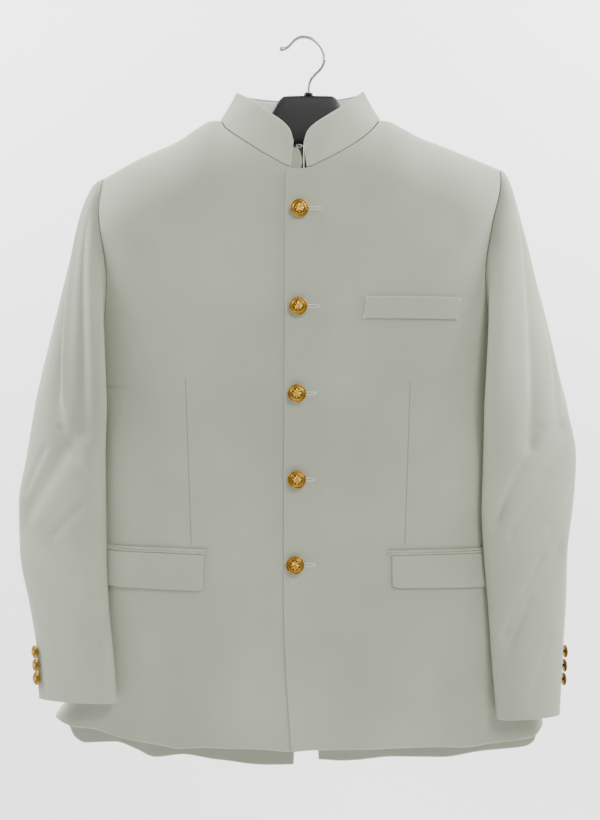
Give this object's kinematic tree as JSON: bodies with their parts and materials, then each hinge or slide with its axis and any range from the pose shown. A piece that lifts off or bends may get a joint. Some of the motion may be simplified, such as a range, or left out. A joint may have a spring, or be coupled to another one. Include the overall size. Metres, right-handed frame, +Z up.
{
  "type": "bandhgala jacket on a plastic hanger",
  "caption": "Closed-neck suit jacket with a standing collar, worn cloth walls open at neck, hem and cuffs, hung on a plastic hanger with a steel hook.",
  "frame": {"origin": "inner top of the hanger's hook, where it rests on a rail", "axes": "+Z up, -Y the way the front of the jacket faces, +X the wearer's left"},
  "size_m": [0.6449, 0.1759, 0.8619],
  "materials": {
    "suiting": "matte, faint sheen",
    "satin": "satin",
    "button_metal": "polished relief on a darkened ground",
    "hanger_plastic": "satin black",
    "hook_steel": "bright"
  },
  "bodies": {
    "root": {"front_left": "suiting", "front_right": "suiting", "back_left": "suiting", "back_right": "suiting", "topsleeve_left": "suiting", "topsleeve_right": "suiting", "undersleeve_left": "suiting", "undersleeve_right": "suiting", "collar": "suiting", "collar_tab": "suiting", "chest_welt": "suiting", "pocket_jet_left": "suiting", "pocket_jet_right": "suiting", "pocket_flap_left": "suiting", "pocket_flap_right": "suiting", "collar_lining": "satin", "collar_hook": "hook_steel", "front_button_1": "button_metal", "front_button_2": "button_metal", "front_button_3": "button_metal", "front_button_4": "button_metal", "front_button_5": "button_metal", "cuff_button_left_1": "button_metal", "cuff_button_left_2": "button_metal", "cuff_button_left_3": "button_metal", "cuff_button_right_1": "button_metal", "cuff_button_right_2": "button_metal", "cuff_button_right_3": "button_metal", "hanger": "hanger_plastic", "hanger_hook": "hook_steel"}
  },
  "joints": []
}
